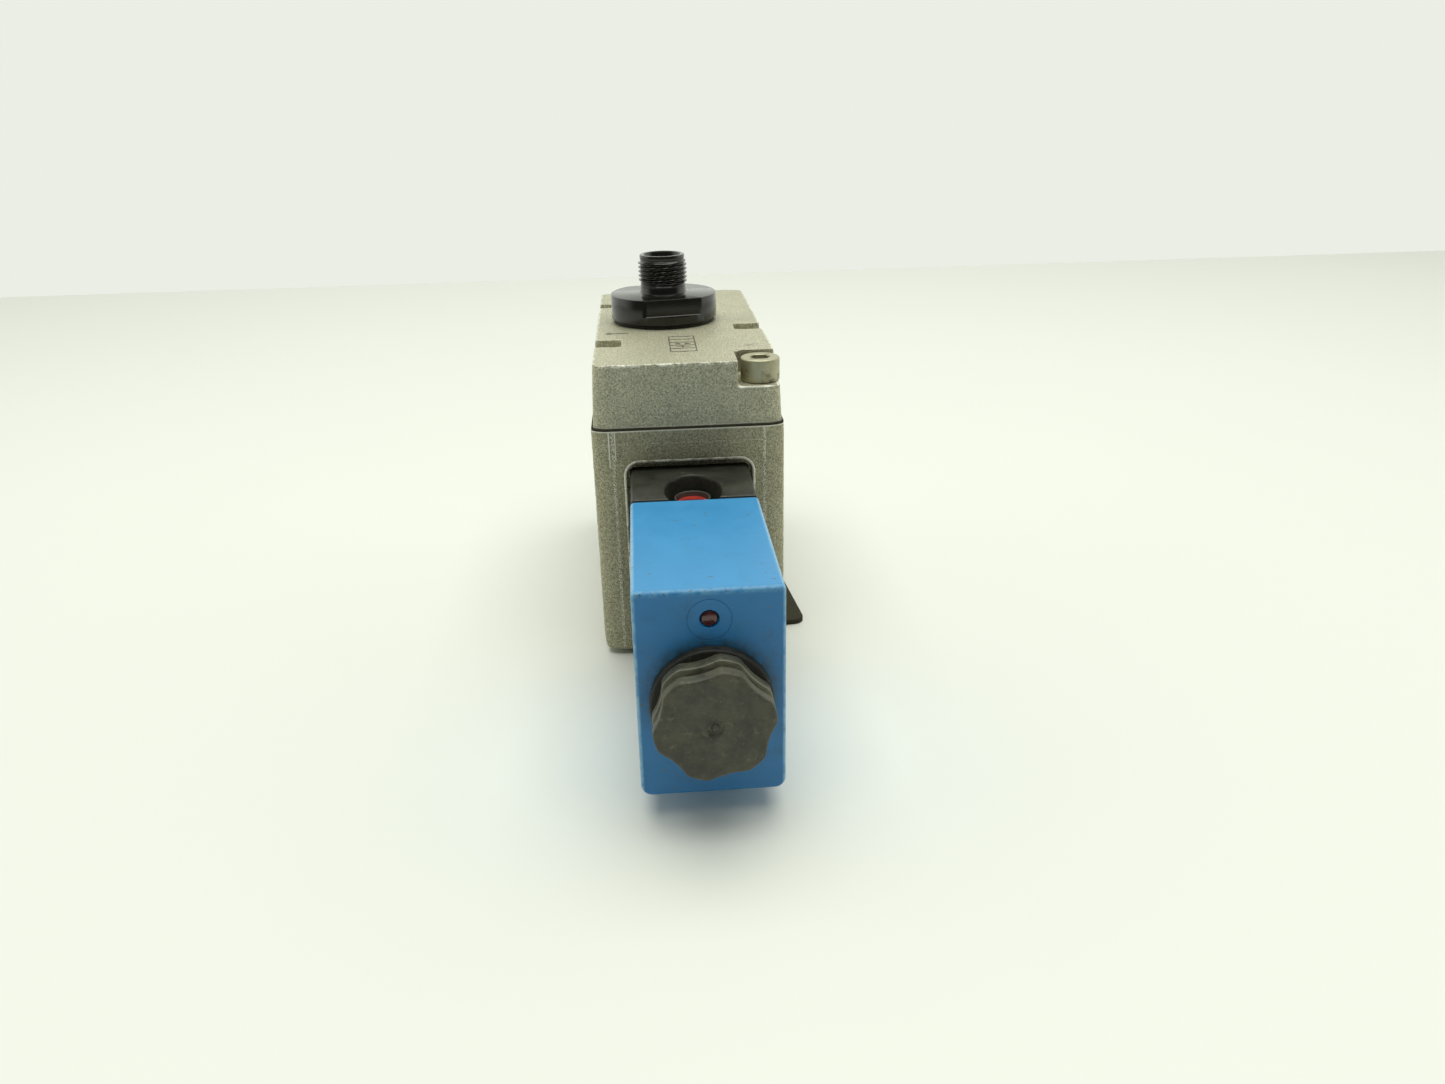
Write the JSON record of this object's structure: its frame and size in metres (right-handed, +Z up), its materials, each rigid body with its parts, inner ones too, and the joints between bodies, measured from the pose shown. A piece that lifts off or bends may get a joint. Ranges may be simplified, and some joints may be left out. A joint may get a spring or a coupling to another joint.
{
  "type": "solenoid directional control valve",
  "caption": "Cast spool valve with a plastic solenoid pilot and blue coil on its front, a hand nut, a push override and a round threaded plug-in receptacle on its cover.",
  "frame": {"origin": "underside of the port gasket, at the middle of the body's width and length", "axes": "+Z up out of the port face, -Y towards the coil and hand nut, +X to the right seen from the coil"},
  "size_m": [0.0481, 0.1597, 0.0842],
  "materials": {
    "cast_alloy": "as-cast, grainy, tarnished",
    "steel": "dull zinc",
    "spring_steel": "drawn wire",
    "aluminium": "turned",
    "brass": "turned",
    "copper": "enamelled wire",
    "black_plastic": "moulded, handled",
    "grey_plastic": "moulded, dusty",
    "blue_plastic": "moulded epoxy, scuffed",
    "red_plastic": "moulded",
    "red_lens": "clear red",
    "rubber": "moulded",
    "fibre": "gasket sheet",
    "white_plastic": "moulded",
    "board": "circuit board",
    "wire_brown": "insulation",
    "wire_blue": "insulation",
    "wire_green": "insulation"
  },
  "bodies": {
    "valve": {"port_gasket": "fibre", "body_casting": "cast_alloy", "cover_gasket": "fibre", "cover": "cast_alloy", "cover_screw_front": "steel", "cover_screw_rear": "steel", "spool_sleeve": "aluminium", "sleeve_seal_1": "rubber", "sleeve_seal_2": "rubber", "sleeve_seal_3": "rubber", "sleeve_seal_4": "rubber", "sleeve_seal_5": "rubber", "sleeve_seal_6": "rubber", "return_spring": "spring_steel", "end_cap": "cast_alloy", "end_cap_gasket": "fibre", "end_cap_screw_high": "steel", "end_cap_screw_low": "steel", "pilot_block": "black_plastic", "pilot_gasket": "rubber", "pilot_screw_high": "steel", "pilot_screw_low": "steel", "override_bush": "grey_plastic", "override_seal": "rubber", "override_spring": "spring_steel", "pilot_nozzle": "brass", "armature_tube": "brass", "fixed_core": "steel", "armature_spring": "spring_steel", "coil_housing": "blue_plastic", "coil_yoke": "steel", "coil_bobbin": "white_plastic", "coil_winding": "copper", "coil_gasket": "rubber", "coil_terminal_left": "brass", "coil_terminal_right": "brass", "led_lens": "red_lens", "led_board": "board", "nut_seal": "rubber", "receptacle_body": "black_plastic", "receptacle_seal": "rubber", "contact_insert": "black_plastic", "contact_pin_1": "brass", "contact_pin_2": "brass", "contact_pin_3": "brass", "contact_pin_4": "brass", "contact_pin_5": "brass", "wire_plug": "white_plastic", "lead_wire_brown": "wire_brown", "lead_wire_blue": "wire_blue", "lead_wire_earth": "wire_green"},
    "override": {"override_button": "red_plastic"},
    "hand_nut": {"coil_nut": "grey_plastic"},
    "armature": {"armature": "steel", "armature_seat": "rubber"},
    "spool": {"spool": "aluminium", "pilot_piston": "white_plastic", "piston_seal": "rubber"}
  },
  "joints": [
    {"name": "override_press", "type": "slide", "parent": "valve", "child": "override", "axis": [0, 0, -1], "range_m": [0, 0.002], "stiffness_N_per_m": 500, "springref_m": -0.002, "deforming": ["override_spring"]},
    {"name": "hand_nut_turn", "type": "hinge", "parent": "valve", "child": "hand_nut", "pos_m": [0, -0.1082, 0.02395], "axis": [0, -1, 0], "continuous": true},
    {"name": "armature_slide", "type": "slide", "parent": "valve", "child": "armature", "axis": [0, -1, 0], "range_m": [0, 0.0015], "stiffness_N_per_m": 400, "springref_m": -0.004, "deforming": ["armature_spring"]},
    {"name": "spool_shift", "type": "slide", "parent": "valve", "child": "spool", "axis": [0, 1, 0], "range_m": [0, 0.003], "stiffness_N_per_m": 900, "springref_m": -0.005, "deforming": ["return_spring"]}
  ]
}
